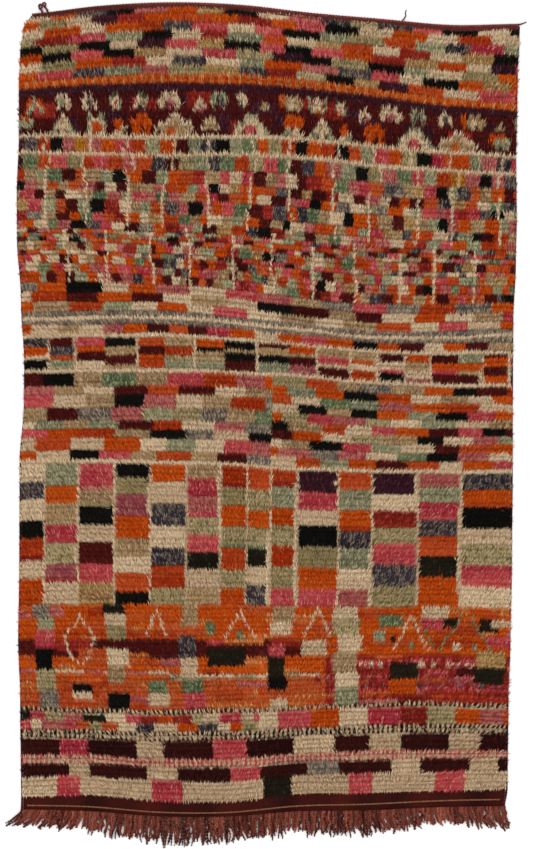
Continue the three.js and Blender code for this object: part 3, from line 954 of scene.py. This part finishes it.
def grow(name, points, edges, attributes, tree, **sizes):
    """Runs a tree on points and lines, and returns the plain mesh that it makes."""
    seeds = bpy.data.meshes.new(name)
    seeds.from_pydata(points, edges, [])
    for key, (kind, values) in attributes.items():
        field = "color" if kind == "FLOAT_COLOR" else "vector" if kind == "FLOAT_VECTOR" else "value"
        seeds.attributes.new(key, kind, "POINT").data.foreach_set(field, np.ravel(values).astype(np.float32))
    piece = bpy.data.objects.new(name, seeds)
    scene.collection.objects.link(piece)
    modifier = piece.modifiers.new("grow", "NODES")
    modifier.node_group = tree
    named = {label.replace("_", " ").lower(): value for label, value in sizes.items()}
    for item in tree.interface.items_tree:
        if item.in_out == "INPUT" and item.name.lower() in named:
            modifier[item.identifier] = named[item.name.lower()]
    depsgraph = bpy.context.evaluated_depsgraph_get()
    mesh = bpy.data.meshes.new_from_object(
        piece.evaluated_get(depsgraph), preserve_all_data_layers=True, depsgraph=depsgraph)
    piece.modifiers.remove(modifier)
    piece.data = mesh
    bpy.data.meshes.remove(seeds)
    mesh.name = name
    for key in HELPERS:
        if key in mesh.attributes:
            mesh.attributes.remove(mesh.attributes[key])
    return piece


# Materials

def shader(name, roughness, sheen):
    """A matt wool, with its shader's fixed values on its own sockets."""
    material = bpy.data.materials.new(name)
    material.use_nodes = True
    tree = material.node_tree
    wool = tree.nodes["Principled BSDF"]
    wool.inputs["Roughness"].default_value = roughness
    wool.inputs["Sheen Weight"].default_value = sheen
    wool.inputs["Sheen Roughness"].default_value = SHEEN_ROUGHNESS
    wool.inputs["Specular IOR Level"].default_value = SPECULAR
    return material, tree, wool


def fibres(tree, scale, stretch):
    """Fine streaks of fibre in the object's own space."""
    where = add(tree, "ShaderNodeTexCoord").outputs["Object"]
    mapped = add(tree, "ShaderNodeMapping", {"Vector": where, "Scale": stretch}).outputs[0]
    sizes = {"Vector": mapped, "Scale": scale, "Detail": FIBRE_DETAIL}
    return add(tree, "ShaderNodeTexNoise", sizes).outputs["Fac"]


def in_range(tree, value, low, high, start=0.0, end=1.0):
    """A value between start and end, carried over to between low and high."""
    limits = {"Value": value, "From Min": start, "From Max": end, "To Min": low, "To Max": high}
    return add(tree, "ShaderNodeMapRange", limits).outputs["Result"]


def dyed(tree, low, high):
    """The dyed colour of each tuft, and a noise that makes it lighter and darker."""
    yarn = add(tree, "ShaderNodeAttribute", attribute_name="yarn").outputs["Color"]
    return yarn, in_range(tree, fibres(tree, STREAKS_FINE, STREAKS_SHAPE), low, high, 0.25, 0.75)


def add_relief(tree, wool, height, strength, distance):
    """Fine relief in the wool's shading."""
    relief = add(tree, "ShaderNodeBump", {"Height": height, "Strength": strength, "Distance": distance})
    tree.links.new(relief.outputs[0], wool.inputs["Normal"])


def pile_wool():
    """Hand-spun wool tufts, with painted shade that darkens them towards the root."""
    material, tree, wool = shader("pile_wool", ROUGH_PILE, SHEEN)
    yarn, shade = dyed(tree, 0.95, 1.05)
    along = add(tree, "ShaderNodeAttribute", attribute_name="along").outputs["Fac"]
    # Painted shade: each lock darkens towards its root and lightens a little at its tip
    lock_painted_shade = in_range(tree, along, ROOT_PAINTED_SHADE, TIP_PAINTED_LIGHT, ROOT_END, TIP_START)
    tree.links.new(scaled(tree, yarn, sum_of(tree, "MULTIPLY", shade, lock_painted_shade)), wool.inputs["Base Color"])
    add_relief(tree, wool, fibres(tree, 900.0, (1.0, 0.3, 0.6)), 0.12, 0.6 * MM)
    return material


def yarn_wool(name, scale, low, high):
    """Spun yarn whose plies show as fine slanting streaks."""
    material, tree, wool = shader(name, ROUGH_YARN, SHEEN)
    yarn, shade = dyed(tree, low, high)
    tree.links.new(scaled(tree, yarn, shade), wool.inputs["Base Color"])
    add_relief(tree, wool, fibres(tree, scale, (1.0, 0.4, 1.0)), 0.35, 0.5 * MM)
    return material


def woven_wool():
    """The base: weft ribs across and knots' backs, in the yarn of each knot, with painted shade in the ribs'
    hollows.
    """
    material, tree, wool = shader("woven_wool", ROUGH_PILE, BASE_SHEEN)
    yarn, shade = dyed(tree, 0.7, 1.3)
    weave = add(tree, "ShaderNodeSeparateXYZ", {0: add(tree, "ShaderNodeUVMap", uv_map="OFBake").outputs[0]})
    ribs = 2 * math.pi * FIELD_LONG / RIB_LONG
    across = sum_of(tree, "SINE", sum_of(tree, "MULTIPLY", weave.outputs[1], ribs))
    threads = sum_of(tree, "SINE", sum_of(tree, "MULTIPLY", weave.outputs[0], 4 * math.pi * KNOTS))
    height = sum_of(tree, "MULTIPLY_ADD", across, 0.35, sum_of(tree, "MULTIPLY", threads, 0.2))
    # Painted shade: the colour darkens in the ribs' hollows and lightens on their crests, in step with the
    # relief
    rib_painted_shade = sum_of(tree, "MULTIPLY", shade, sum_of(tree, "MULTIPLY_ADD", across, 0.12, 0.95))
    tree.links.new(scaled(tree, yarn, rib_painted_shade), wool.inputs["Base Color"])
    add_relief(tree, wool, height, 0.5, 0.8 * MM)
    return material


def floor_paint():
    """Pale matt paint with a faint mottle."""
    material, tree, paint = shader("floor_paint", 0.8, 0.0)
    shade = in_range(tree, fibres(tree, 3.0, (1, 1, 1)), 0.83, 0.85)
    tree.links.new(shade, paint.inputs["Base Color"])
    return material


# Pieces

def tuft_colours(row, knot):
    """Each tuft's colour: its block's tone, some odd fibres and a little chance."""
    names = chart[row, knot]
    tone = np.clip(tones[row, knot] + dice.normal(0, TUFT_TONE, len(row)), 0, 1)[:, None]
    deep, faded, odd = (np.array([linear(YARNS[name][k]) for name in YARN_NAMES]) for k in range(3))
    share = np.array([YARNS[name][3] for name in YARN_NAMES])[names]
    colours = deep[names] * (1 - tone) + faded[names] * tone
    # The odd fibres come in clumps that differ from row to row
    clumps = 0.5 + 0.5 * np.sin(row * 1.3 + np.sin(knot * 0.9) * 2.0 + knot * 0.35)
    is_odd = dice.random(len(row)) < share * (0.5 + clumps)
    colours[is_odd] = odd[names[is_odd]]
    return colours * WOOL_GAIN * np.exp(dice.normal(0, TUFT_SHADE, len(row)))[:, None]


def with_alpha(colours):
    """Colours with an alpha of 1."""
    return np.hstack([colours, np.ones((len(colours), 1))])


def lock_places(row, knot, side, crease, jitter):
    """How far across and how far down the rug each lock is knotted."""
    gathered = ((side + 0.5) / TUFTS - 0.5) * (1 - CREASE_GATHERS * crease)
    u = (knot + 0.5 + gathered + dice.normal(0, SCATTER, len(row))) / KNOTS
    wobble = sum(high * np.sin(u * across + turn * row) for high, across, turn in WOBBLES)
    down = PILE_START + (row + ROW_FOOT + wobble + dice.normal(0, jitter, len(row))) * ROW_STEP
    return u, down


def lock_leans(row, u, down, x, y):
    """Which way each lock leans, how far a side turns it out, and which lie over the flat weave."""
    count = len(row)
    lower = np.clip((down - LOWER_FROM * PILE_END) / (LOWER_LONG * PILE_END), 0, 1)
    lean = np.radians(LEAN_LEFT + LEAN_TURN * np.clip(u * LEAN_STEEP - LEAN_LAG, 0, 1))
    lean += LEAN_DRIFT * waves(x, y, LEANS) + lower * LOWER_DRIFT * waves(x, y, LEANS[1:])
    lean += np.repeat(dice.normal(0, KNOT_LEAN, count // TUFTS), TUFTS) + dice.normal(0, LOCK_LEAN, count)
    stray = dice.random(count) < STRAYS
    lean[stray] += dice.normal(0, STRAY_LEAN, stray.sum())
    outward = np.clip(1 - np.minimum(u, 1 - u) * KNOTS / EDGE_KNOTS, 0, 1) * np.sign(u - 0.5)
    lean += outward * dice.uniform(*EDGE_LEAN, count)
    turned = (row == ROWS - 1) & (dice.random(count) < TURNED)
    lean[turned] += math.pi
    return lean, outward, turned


def pile_piece(tree, name, first, last, long, uneven, jitter):
    """The locks of the rows from first up to last."""
    row, knot, side = (part.ravel() for part in np.meshgrid(
        np.arange(first, last), np.arange(KNOTS), np.arange(TUFTS), indexing="ij"))
    count = len(row)
    crease = np.clip(1 - np.abs(knot / KNOTS - CREASE_AT) / CREASE_HALF, 0, 1)
    crease = crease * crease * (3 - 2 * crease)
    u, down = lock_places(row, knot, side, crease, jitter)
    x, y = on_rug(np.clip(u, 0.001, 0.999), down, SELVEDGE_SHOWS)
    lean, outward, turned = lock_leans(row, u, down, x, y)
    lumps = waves(x, y, LUMPS)
    rise = np.radians(RISE + LUMP_RISE * lumps - CREASE_RISE * crease + dice.normal(0, RISE_CHANCE, count))
    rise += np.radians(np.repeat(dice.normal(0, RISE_CHANCE, count // TUFTS), TUFTS))
    aim = np.stack([np.sin(lean) * np.cos(rise), np.cos(lean) * np.cos(rise), np.sin(rise)], 1)
    bend = np.stack([np.sin(lean), np.cos(lean), np.full(count, BEND_FALL)], 1)
    bend *= (long * BEND * (1 - TURNED_BEND * turned) * dice.uniform(*BEND_RANGE, count))[:, None]
    bend[:, 0] += dice.normal(0, BEND_ASIDE, count)
    growth = np.where(row == 0, FIRST_ROW, np.where(row == 1, SECOND_ROW, 1.0))
    growth *= 1 + LUMP_GROWTH * lumps - CREASE_GROWTH * crease
    growth *= (1 - TURNED_GROWTH * turned) * (1 - EDGE_GROWTH * np.abs(outward))
    cells = math.ceil(math.sqrt(count))
    index = np.arange(count)
    attributes = {
        "yarn": ("FLOAT_COLOR", with_alpha(tuft_colours(row, knot))),
        "aim": ("FLOAT_VECTOR", aim),
        "bend": ("FLOAT_VECTOR", bend),
        "growth": ("FLOAT", growth),
        "cell": ("FLOAT_VECTOR", np.stack([index % cells, index // cells, np.zeros(count)], 1) / cells),
    }
    points = np.stack([x, y, TUFT_ROOT + LUMP_HIGH * ROOT_LUMPS * lumps], 1)
    return grow(name, points, [], attributes, tree, tuft_length=long, tuft_width=TUFT_WIDE / 2,
                shortest=1 - uneven, longest=1 + uneven, thinnest=THINNEST, thickest=THICKEST,
                bake_cell=BAKE_CELL / cells, seed=first + 1)


def slab_faces(columns, rows):
    """The faces of a thin closed slab over a grid of points: its top, its underside and its wall."""
    step = columns + 1
    under = step * (rows + 1)
    corner = (np.arange(rows)[:, None] * step + np.arange(columns)[None, :]).ravel()
    top = np.stack([corner, corner + step, corner + step + 1, corner + 1], 1)
    ring = np.concatenate([
        np.arange(columns),
        np.arange(rows) * step + columns,
        rows * step + np.arange(columns, 0, -1),
        np.arange(rows, 0, -1) * step,
    ])
    following = np.roll(ring, -1)
    wall = np.stack([ring, following, following + under, ring + under], 1)
    return top, top[:, ::-1] + under, wall


def base_colours(downs, wall):
    """The colours of the base's faces: the knots' yarns, the flat-woven end and the bare strip at the top,
    with painted shade on the top under the pile.
    """
    cell_u = np.repeat((np.arange(BASE_COLUMNS) + 0.5)[None, :] / BASE_COLUMNS, BASE_ROWS, 0).ravel()
    cell_down = np.repeat(downs[:-1, None], BASE_COLUMNS, 1).ravel()
    row = ((cell_down - PILE_START) / ROW_STEP + 0.5).astype(int)
    knot = np.clip((cell_u * KNOTS).astype(int), 0, KNOTS - 1)
    colours = tuft_colours(np.clip(row, 0, ROWS - 1), knot)
    flat = row >= ROWS
    column = np.arange(BASE_COLUMNS)
    # Soft patches across, where the flat weave is worn
    worn = 0.5 + 0.3 * np.sin(column * 0.31) + 0.2 * np.sin(column * 0.77)
    worn = np.tile(worn, BASE_ROWS)[flat][:, None]
    colours[flat] = linear(FLAT_DARK) * (1 - worn) + linear(FLAT_WORN) * worn
    colours[row < 1] = linear(BARE_STRIP)
    rim = np.tile(linear(BASE_RIM), (wall, 1))
    # Painted shade: the top under the pile is darkened where it lies in shade between the locks; the
    # underside keeps the full colour
    return with_alpha(np.vstack([colours * np.where(flat, 1, PILE_GAP_PAINTED_SHADE)[:, None], colours, rim]))


def base_layout(u, down, faces, wall):
    """The flat layout of the base for the bake: its top beside its underside, and its wall at the right."""
    share = np.stack([u * LAYOUT_WIDE, (down - BASE_START) / (WEAVE_END - BASE_START) * LAYOUT_HIGH], 1)
    corners = np.vstack([share, share + (0.5, 0)])[faces.ravel()]
    rim = len(corners) - wall * 4
    near, far = LAYOUT_STRIP
    corners[rim:] = np.tile(((near, 0.0), (near, 1.0), (far, 1.0), (far, 0.0)), (wall, 1))
    corners[rim:, 1] = np.repeat(np.arange(wall), 4) / wall + corners[rim:, 1] / wall
    return corners


def woven_base(material):
    """The cloth that the tufts are knotted to, with its flat-woven end, as one thin closed sheet."""
    downs = np.linspace(BASE_START, WEAVE_END, BASE_ROWS + 1)
    u, down = (part.ravel() for part in np.meshgrid(np.linspace(0, 1, BASE_COLUMNS + 1), downs))
    x, y = on_rug(u, down, SELVEDGE_WIDE + GAP)
    drop = FLAT_DROP * (down >= FLAT_FROM)
    tops = BASE_TOP - drop + RIPPLE_HIGH * np.sin(down / RIPPLE_HALF * math.pi)
    points = np.vstack([np.stack([x, y, tops], 1), np.stack([x, y, np.full(len(x), BASE_UNDER)], 1)])
    top, underside, wall = slab_faces(BASE_COLUMNS, BASE_ROWS)
    faces = np.vstack([top, underside, wall])
    mesh = bpy.data.meshes.new("woven_base")
    mesh.from_pydata(points, [], faces.tolist())
    mesh.materials.append(material)
    layer = mesh.attributes.new("yarn", "FLOAT_COLOR", "CORNER")
    colours = np.repeat(base_colours(downs, len(wall)), 4, 0)
    layer.data.foreach_set("color", colours.ravel().astype(np.float32))
    layout = mesh.uv_layers.new(name="OFBake")
    layout.data.foreach_set("uv", base_layout(u, down, faces, len(wall)).ravel().astype(np.float32))
    base = bpy.data.objects.new("woven_base", mesh)
    scene.collection.objects.link(base)
    return base


def lines(count, stations):
    """The links of several lines of points, each with the same number of stations."""
    first = (np.arange(count)[:, None] * stations + np.arange(stations - 1)[None, :]).ravel()
    return np.stack([first, first + 1], 1).tolist()


def yarn_along(name, points, thick, pitch, colours, tree, count=1, **sizes):
    """One or more twisted yarns through points, with their thickness, colours and pitch of twist."""
    stations = len(points) // count
    steps = np.linalg.norm(np.diff(points.reshape(count, stations, 3), axis=1), axis=2)
    run = np.hstack([np.zeros((count, 1)), np.cumsum(steps, 1)]).ravel()
    attributes = {
        "yarn": ("FLOAT_COLOR", with_alpha(colours)),
        "thick": ("FLOAT", np.broadcast_to(thick, len(points))),
        "twist": ("FLOAT", run * 2 * math.pi / pitch if pitch else np.zeros(len(points))),
    }
    return grow(name, points, lines(count, stations), attributes, tree, **sizes)


def mottled(code, count, spread):
    """One dyed colour for each station, a little lighter or darker."""
    return linear(code) * np.exp(dice.normal(0, spread, count))[:, None]


def selvedge_piece(name, u, tree):
    """The side cord at one side of the rug, overcast with yarn that swells at every turn."""
    stations = int(FIELD_LONG / OVERCAST_TURN * TURN_STATIONS)
    down = np.linspace(CORD_WIDE + GAP, WEAVE_END, stations)
    x, y = on_rug(np.full(stations, u), down, SELVEDGE_WIDE / 2)
    swell = 1 + OVERCAST_SWELL * np.cos(np.arange(stations) * 2 * math.pi / TURN_STATIONS)
    points = np.stack([x, y, np.full(stations, OVERCAST_HIGH)], 1)
    colours = mottled(OVERCAST_WOOL, stations, CORD_MOTTLE)
    colours[::TURN_STATIONS] *= OVERCAST_DARK
    return yarn_along(name, points, OVERCAST_RADIUS * swell, 0, colours, tree,
                      plies=0.0, lobe=0.0, flatness=OVERCAST_FLAT, sides=7)


def top_cord_piece(tree):
    """The warp ends plied into a two-strand cord along the top."""
    u = np.linspace(0.002, 0.998, CORD_STATIONS)
    x, y = on_rug(u, np.full(CORD_STATIONS, CORD_WIDE / 2))
    points = np.stack([x, y, np.full(CORD_STATIONS, CORD_HIGH)], 1)
    colours = mottled(CORD_WOOL, CORD_STATIONS, CORD_MOTTLE)
    colours[u < CORD_DARK_TO] *= CORD_DARK
    return yarn_along("twisted_cord", points, CORD_RADIUS, CORD_PITCH, colours, tree,
                      plies=2.0, lobe=0.16, flatness=1.0, sides=10)


def tails_piece(tree):
    """The loose warp ends that stick out of the top cord."""
    points = []
    thick = []
    share = np.linspace(0, 1, TAIL_STATIONS)
    for at, wide, steps in TAILS:
        x, y = on_rug(np.array([at]), np.array([CORD_WIDE / 2]))
        turns = np.vstack([(0, 0), np.cumsum(steps, 0)]) * MM
        across = between(turns[:, 0], share)
        up = between(turns[:, 1], share)
        radius = wide / 2 * MM * (1 - TAIL_TAPER * share)
        points.append(np.stack([x[0] + across, y[0] + up, LIFT * radius + CLEAR], 1))
        thick.append(radius)
    points = np.vstack(points)
    colours = mottled(TAIL_WOOL, len(points), CORD_MOTTLE)
    return yarn_along("loose_ends", points, np.concatenate(thick), TAIL_PITCH, colours, tree,
                      count=len(TAILS), plies=2.0, lobe=0.2, flatness=1.0, sides=8)


def twined_line(tree):
    """The thin tan line twined through the flat-woven end."""
    u = np.linspace(0.008, 0.992, LINE_STATIONS)
    x, y = on_rug(u, LINE_DOWN + LINE_WAVE * np.sin(u * 5), SELVEDGE_WIDE)
    points = np.stack([x, y, np.full(LINE_STATIONS, BASE_TOP + LINE_LIFT)], 1)
    colours = mottled(LINE_WOOL, LINE_STATIONS, LINE_MOTTLE)
    colours[np.arange(LINE_STATIONS) % LINE_STITCH < LINE_STITCH / 2] *= LINE_DARK
    return yarn_along("twined_line", points, LINE_RADIUS, LINE_PITCH, colours, tree,
                      plies=2.0, lobe=0.3, flatness=0.9, sides=6)


def fringe_piece(tree):
    """Twisted warp ends in clumps, wavy and crossing, that lie on the floor."""
    u = (np.arange(STRANDS) + 0.5) / STRANDS + dice.normal(0, STRAND_SCATTER, STRANDS)
    u = np.clip(u, 0.002, 0.998)
    share = np.linspace(0, 1, STRAND_STATIONS)[None, :]
    bundle = np.arange(STRANDS) // BUNDLE
    clump = dice.normal(0, 1, bundle[-1] + 1)[bundle]
    clump_long = dice.uniform(*BUNDLE_LONG, bundle[-1] + 1)[bundle]
    long = between(FRINGE_LONG, u) * MM * clump_long * dice.uniform(*STRAND_LONG, STRANDS)
    drift = between(FRINGE_DRIFT, u) + BUNDLE_DRIFT * clump + dice.normal(0, STRAND_DRIFT, STRANDS)
    x, y = on_rug(u, np.full(STRANDS, WEAVE_END - STRAND_ROOT))
    swing = dice.normal(0, STRAND_WAVE, STRANDS)[:, None] * np.minimum(1, share * 3)
    turns = dice.uniform(*STRAND_TURNS, STRANDS)[:, None]
    wave = swing * np.sin(share * turns + dice.uniform(0, 6, STRANDS)[:, None])
    across = x[:, None] + drift[:, None] * MM * share ** STRAND_CURVE + wave
    down = y[:, None] - long[:, None] * share
    radius = dice.uniform(*STRAND_RADIUS, STRANDS)[:, None] * MM * (1 - STRAND_TAPER * share ** 3)
    layer = dice.uniform(0, STRAND_LAYER, STRANDS)[:, None]
    high = LIFT * radius + layer * np.sin(np.minimum(1, share * 1.4) * math.pi) ** 2 + CLEAR
    points = np.stack([across, down, high], 2).reshape(-1, 3)
    tone = np.clip(dice.normal(0.5, 0.3, STRANDS), 0, 1.3)[:, None]
    strand = linear(STRAND_DARK) * (1 - tone) + linear(STRAND_PALE) * tone
    mottle = np.exp(dice.normal(0, STRAND_MOTTLE, len(points)))[:, None]
    colours = np.repeat(strand, STRAND_STATIONS, 0) * mottle
    return yarn_along("fringe_strands", points, radius.ravel() * 1.02, CORD_PITCH, colours, tree,
                      count=STRANDS, plies=2.0, lobe=0.2, flatness=0.9, sides=6)


# The floor, the lights and the camera

def floor():
    """The plain floor, a little under the rug."""
    bpy.ops.mesh.primitive_plane_add(size=FLOOR_SIZE, location=(0, 0, -FLOOR_DROP))
    ground = bpy.context.object
    ground.name = "floor"
    ground.data.transform(ground.matrix_world)
    ground.location = (0, 0, 0)
    ground.data.materials.append(floor_paint())


def soft_sun(name, source, strength):
    """A soft light as wide as a studio's window wall, from a direction over the rug."""
    lamp = bpy.data.lights.new(name, "SUN")
    lamp.angle = math.radians(LIGHT_ANGLE)
    lamp.energy = strength
    holder = bpy.data.objects.new(name, lamp)
    holder.rotation_euler = Vector(source).to_track_quat("Z", "Y").to_euler()
    scene.collection.objects.link(holder)


def setting():
    """Plain studio light, and the camera over the rug, face on."""
    world = bpy.data.worlds.new("studio")
    world.use_nodes = True
    world.node_tree.nodes["Background"].inputs["Color"].default_value = (1, 1, 1, 1)
    world.node_tree.nodes["Background"].inputs["Strength"].default_value = WORLD_LIGHT
    scene.world = world
    scene.view_settings.view_transform = "Standard"
    soft_sun("window_left", KEY_FROM, KEY_LIGHT)
    soft_sun("window_right", FILL_FROM, FILL_LIGHT)
    lens = bpy.data.cameras.new("camera")
    lens.lens = LENS
    lens.sensor_width = SENSOR
    camera = bpy.data.objects.new("camera", lens)
    camera.location = (shift_x + PHOTO_MIDDLE_X, shift_y, FRAME_LONG * LENS / SENSOR)
    scene.collection.objects.link(camera)
    scene.camera = camera


def main():
    """Makes every piece, hides the parts that they replace, and sets each one on the rug's body."""
    setting()
    floor()
    fill_chart()
    tufts = pile_tree(pile_wool())
    pile = [pile_piece(tufts, *settings) for settings in PILE_PIECES]
    base = woven_base(woven_wool())
    side_yarn = yarn_tree(yarn_wool("overcast_yarn", 700.0, 0.85, 1.15))
    left = selvedge_piece("overcast_left", 0.0, side_yarn)
    right = selvedge_piece("overcast_right", 1.0, side_yarn)
    cord_yarn = yarn_tree(yarn_wool("cord_yarn", 800.0, 0.8, 1.2))
    cord = top_cord_piece(cord_yarn)
    tails = tails_piece(cord_yarn)
    line = twined_line(yarn_tree(yarn_wool("twined_yarn", 900.0, 0.85, 1.15)))
    fringe = fringe_piece(yarn_tree(yarn_wool("fringe_yarn", 600.0, 0.8, 1.2)))
    for piece in (*pile, base, line):
        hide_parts("field")
    for piece, node, slot in (
        (left, "selvedge_left", "selvedge_wool"),
        (right, "selvedge_right", "selvedge_wool"),
        (cord, "top_cord", "cord_wool"),
        (tails, "top_cord", "cord_wool"),
        (fringe, "fringe", "fringe_wool"),
    ):
        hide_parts(node)
    others = [*pile, line, left, right, cord, tails, fringe]
    for piece in (base, *others):
        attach(piece, "root")


main()
